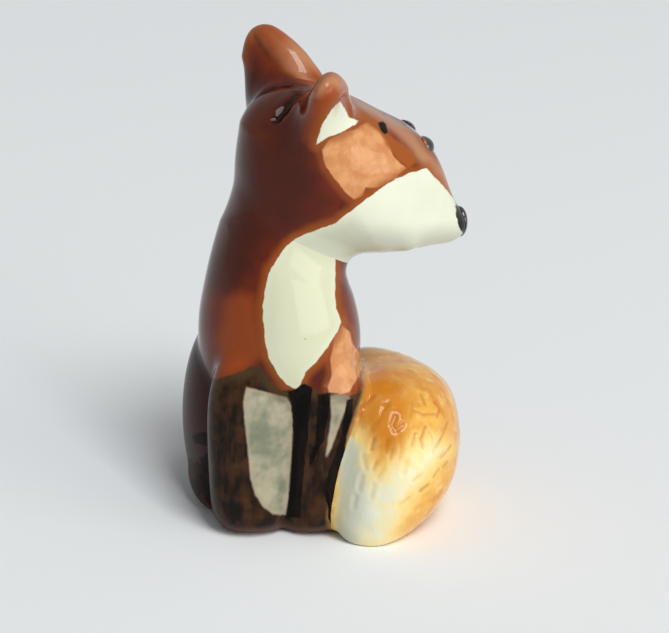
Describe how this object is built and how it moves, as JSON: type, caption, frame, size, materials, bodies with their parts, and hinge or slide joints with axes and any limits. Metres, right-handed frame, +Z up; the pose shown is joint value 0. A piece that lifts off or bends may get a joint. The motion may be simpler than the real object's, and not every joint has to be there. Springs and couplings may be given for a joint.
{
  "type": "seated fox figurine",
  "caption": "Small glazed ceramic fox that sits upright, looks over its left shoulder and has its tail curled round to the front.",
  "frame": {"origin": "on the surface that the fox stands on, straight under its neck, inside the ring-shaped foot of the torso", "axes": "+Z up, -Y the way the chest faces, +X the fox's own left, which is the way the head looks"},
  "size_m": [0.025, 0.0242, 0.0424],
  "materials": {
    "russet_glaze": "glossy transparent glaze over russet brown underglaze, white on the muzzle, chest and inner ears",
    "dark_glaze": "glossy transparent glaze over brushed black brown underglaze",
    "amber_glaze": "glossy transparent glaze over amber underglaze with scratched fur marks and a white tip",
    "black_enamel": "glossy black"
  },
  "bodies": {
    "root": {"ear_left": "russet_glaze", "ear_right": "russet_glaze", "eye_left": "black_enamel", "eye_right": "black_enamel", "foreleg_left": "dark_glaze", "foreleg_right": "dark_glaze", "haunch_left": "russet_glaze", "haunch_right": "russet_glaze", "head": "russet_glaze", "hind_paw_left": "dark_glaze", "hind_paw_right": "dark_glaze", "nose": "black_enamel", "tail": "amber_glaze", "torso": "russet_glaze"}
  },
  "joints": []
}
